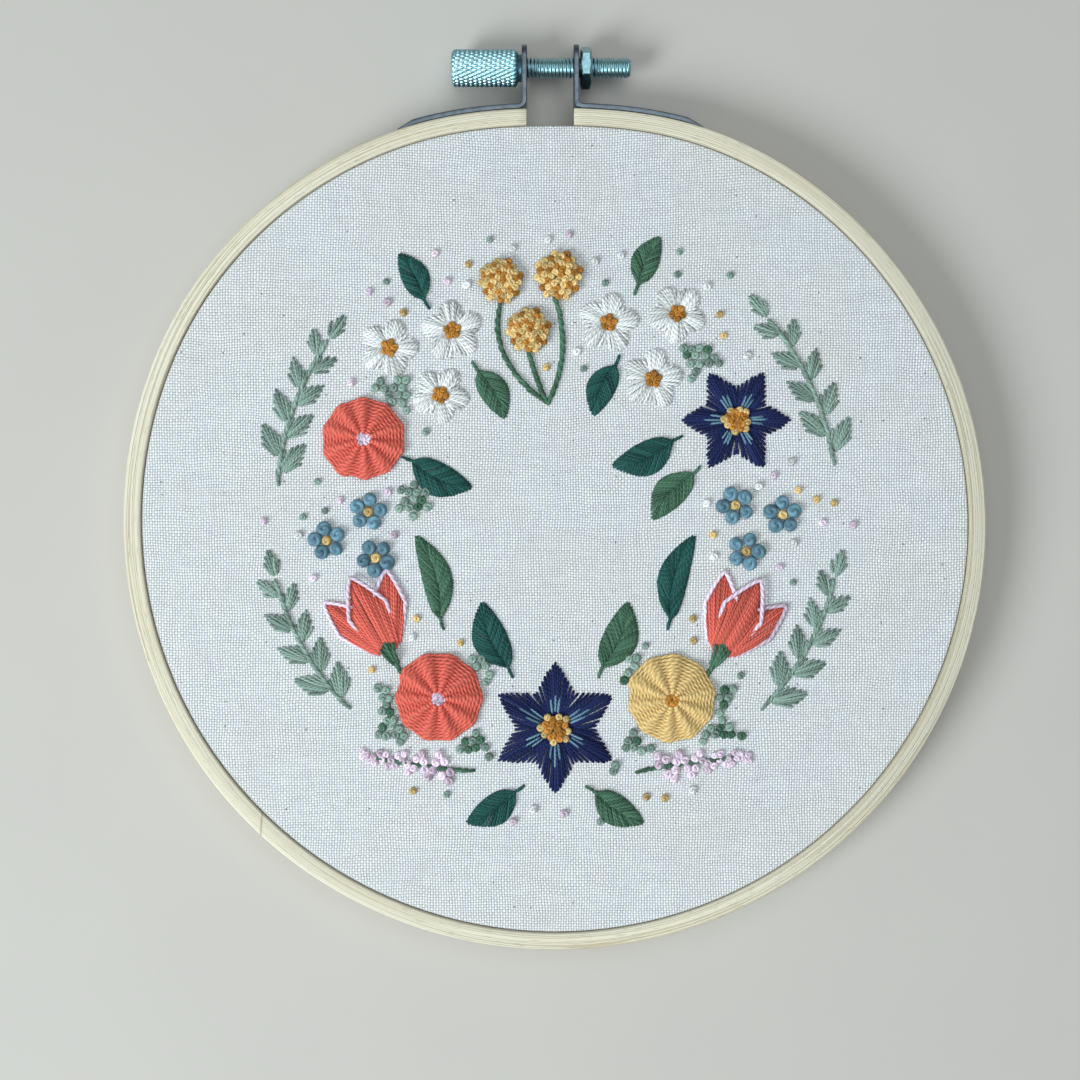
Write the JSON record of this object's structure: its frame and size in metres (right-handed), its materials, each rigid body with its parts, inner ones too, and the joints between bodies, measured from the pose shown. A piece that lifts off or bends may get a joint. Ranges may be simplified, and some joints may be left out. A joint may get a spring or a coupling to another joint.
{
  "type": "embroidered cloth in bamboo hoop",
  "caption": "Round plain-weave cotton cloth stretched in a split bamboo hoop with a thumbscrew clamp, stitched with a raised wreath of flowers and leaves.",
  "frame": {"origin": "middle of the part on the plane of its back rim", "axes": "+Z out of the stitched face, +Y from the hoop towards its clamp screw, +X to the right seen from the front"},
  "size_m": [0.1611, 0.17, 0.0121],
  "materials": {
    "bamboo": "satin",
    "blue_thread": "soft sheen",
    "coral_thread": "soft sheen",
    "cotton": "plain weave",
    "gold_thread": "soft sheen",
    "green_thread": "soft sheen",
    "navy_thread": "soft sheen",
    "pink_thread": "soft sheen",
    "sage_thread": "soft sheen",
    "steel": "dull zinc plate",
    "white_thread": "soft sheen",
    "zinc": "bright zinc plate"
  },
  "bodies": {
    "hoop": {"ball_flower_1": "gold_thread", "ball_flower_2": "gold_thread", "ball_flower_3": "gold_thread", "ball_stalks": "green_thread", "blossom_1": "white_thread", "blossom_2": "white_thread", "blossom_3": "white_thread", "blossom_4": "white_thread", "blossom_5": "white_thread", "blossom_6": "white_thread", "bracket_left": "steel", "bracket_right": "steel", "cloth": "cotton", "heather_1": "pink_thread", "heather_2": "pink_thread", "inner_hoop": "bamboo", "knot_flower_1": "blue_thread", "knot_flower_2": "blue_thread", "knot_flower_3": "blue_thread", "knot_flower_4": "blue_thread", "knot_flower_5": "blue_thread", "knot_flower_6": "blue_thread", "leaf_1": "green_thread", "leaf_10": "green_thread", "leaf_11": "green_thread", "leaf_12": "green_thread", "leaf_13": "green_thread", "leaf_2": "green_thread", "leaf_3": "green_thread", "leaf_4": "green_thread", "leaf_5": "green_thread", "leaf_6": "green_thread", "leaf_7": "green_thread", "leaf_8": "green_thread", "leaf_9": "green_thread", "nut": "zinc", "outer_hoop": "bamboo", "ribbed_wheel_1": "coral_thread", "ribbed_wheel_2": "gold_thread", "ribbed_wheel_3": "coral_thread", "sprig_1": "sage_thread", "sprig_2": "sage_thread", "sprig_3": "sage_thread", "sprig_4": "sage_thread", "star_flower_1": "navy_thread", "star_flower_2": "navy_thread", "tulip_1": "coral_thread", "tulip_2": "coral_thread"},
    "screw": {"thumbscrew": "zinc"}
  },
  "joints": [
    {"name": "screw_turn", "type": "hinge", "parent": "hoop", "child": "screw", "pos_m": [0, 0.0809, 0.00475], "axis": [1, 0, 0], "continuous": true}
  ]
}
